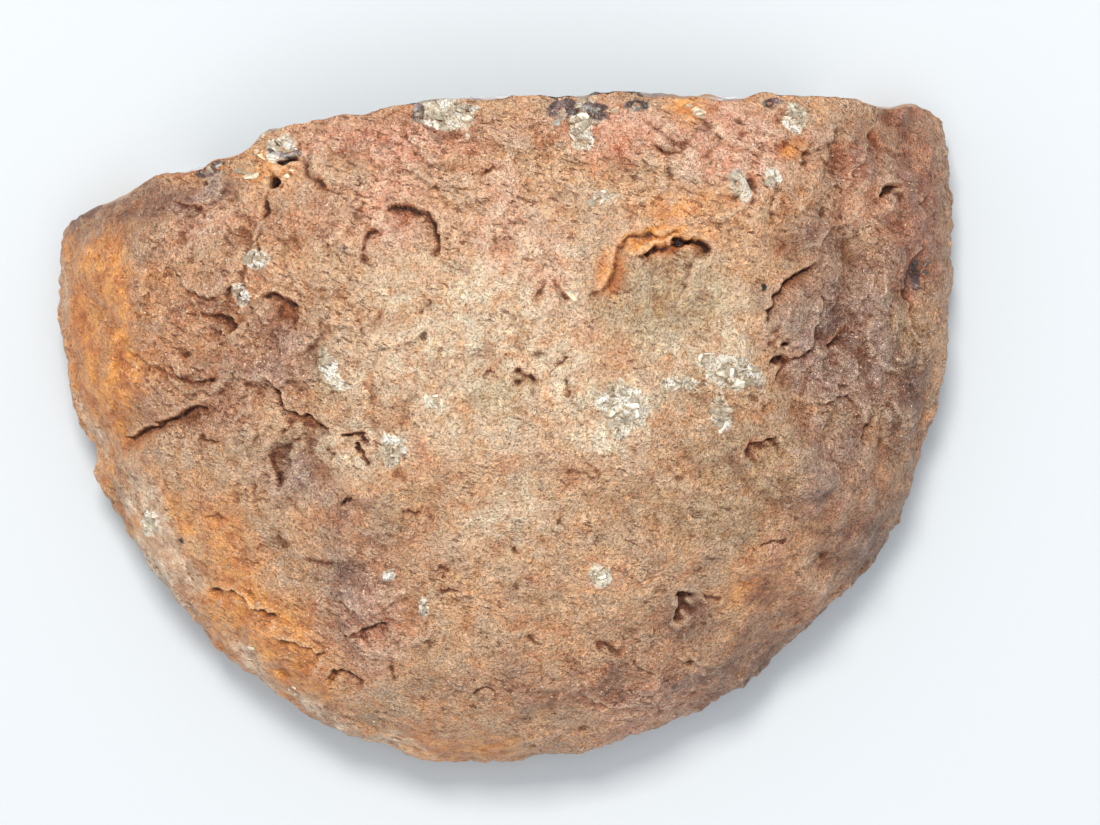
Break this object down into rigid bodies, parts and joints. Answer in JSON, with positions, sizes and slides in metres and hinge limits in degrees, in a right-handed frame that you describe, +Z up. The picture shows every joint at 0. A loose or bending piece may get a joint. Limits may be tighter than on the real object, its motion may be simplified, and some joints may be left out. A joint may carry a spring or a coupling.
{
  "type": "geode half",
  "caption": "Broken half of a hollow stone nodule: a rough domed rind with ledges and pits, open underneath, lined with a crust of pale quartz crystals.",
  "frame": {"origin": "on the surface that the sawn rim rests on, under the middle of the part's footprint", "axes": "+Z up through the dome, +X along the broken side, +Y out of the broken side"},
  "size_m": [0.1206, 0.0896, 0.0444],
  "materials": {
    "rind_stone": "rough, matt",
    "quartz": "clear to milky crystal, glossy"
  },
  "bodies": {
    "root": {"rind": "rind_stone", "crystal_crust": "quartz"}
  },
  "joints": []
}
